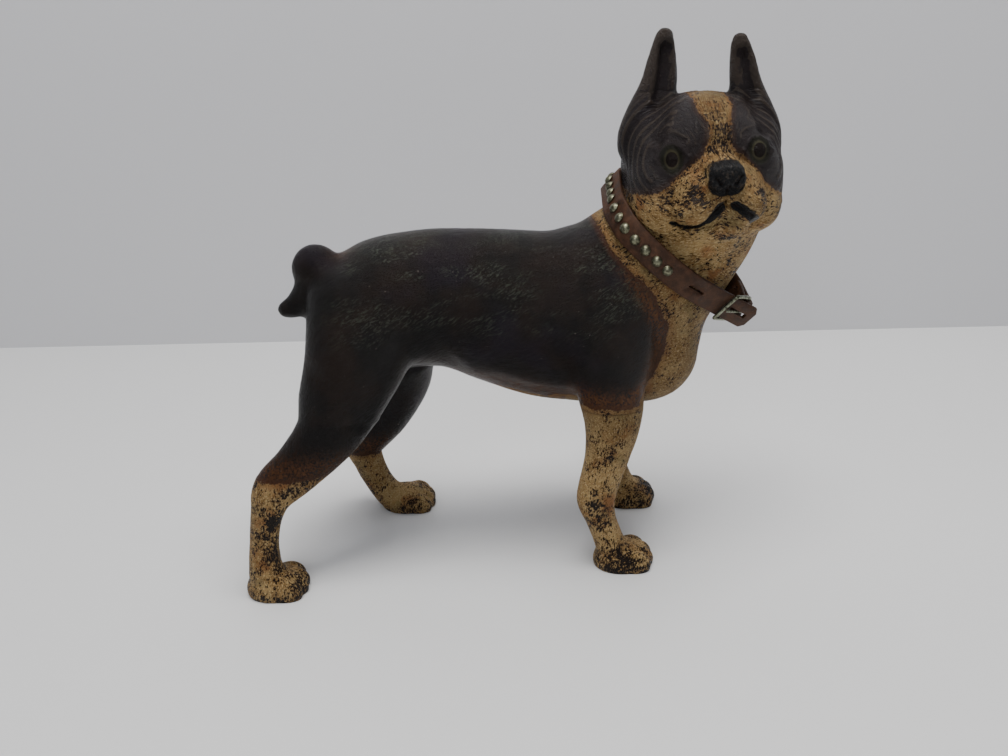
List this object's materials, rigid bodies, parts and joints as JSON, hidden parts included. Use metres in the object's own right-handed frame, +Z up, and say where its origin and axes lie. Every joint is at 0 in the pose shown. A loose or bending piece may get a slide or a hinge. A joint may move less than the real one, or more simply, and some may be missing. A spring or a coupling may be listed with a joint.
{
  "type": "doorstop",
  "caption": "Standing terrier doorstop, hollow cast iron in two half shells, head turned to its right, with a studded leather buckle collar.",
  "frame": {"origin": "on the floor under the middle of the bounding box", "axes": "+X the way the dog's body faces, +Y its left side, +Z up; the head is turned towards -Y"},
  "size_m": [0.2614, 0.1038, 0.2551],
  "materials": {
    "painted_iron": "worn black and cream paint over cast iron",
    "screw_steel": "dark oxidised steel",
    "collar_leather": "dry dark brown leather",
    "stud_brass": "tarnished brass",
    "rivet_metal": "dull brown metal",
    "buckle_metal": "worn plated steel"
  },
  "bodies": {
    "figure_and_collar": {"right_half_casting": "painted_iron", "left_half_casting": "painted_iron", "assembly_screw": "screw_steel", "collar_strap": "collar_leather", "upper_rivet": "rivet_metal", "lower_rivet": "rivet_metal", "stud_01": "stud_brass", "stud_02": "stud_brass", "stud_03": "stud_brass", "stud_04": "stud_brass", "stud_05": "stud_brass", "stud_06": "stud_brass", "stud_07": "stud_brass", "stud_08": "stud_brass", "stud_09": "stud_brass", "stud_10": "stud_brass", "stud_11": "stud_brass", "stud_12": "stud_brass", "stud_13": "stud_brass", "stud_14": "stud_brass", "stud_15": "stud_brass", "stud_16": "stud_brass", "stud_17": "stud_brass", "stud_18": "stud_brass", "stud_19": "stud_brass"},
    "frame": {"buckle_frame": "buckle_metal"},
    "tongue": {"buckle_tongue": "buckle_metal"}
  },
  "joints": [
    {"name": "frame_swing", "type": "hinge", "parent": "figure_and_collar", "child": "frame", "pos_m": [0.11381, -0.01293, 0.12719], "axis": [0.6049, -0.2756, 0.747], "range_deg": [0, 8]},
    {"name": "tongue_swing", "type": "hinge", "parent": "frame", "child": "tongue", "pos_m": [0.11381, -0.01293, 0.12719], "axis": [0.6049, -0.2756, 0.747], "range_deg": [0, 15]}
  ]
}
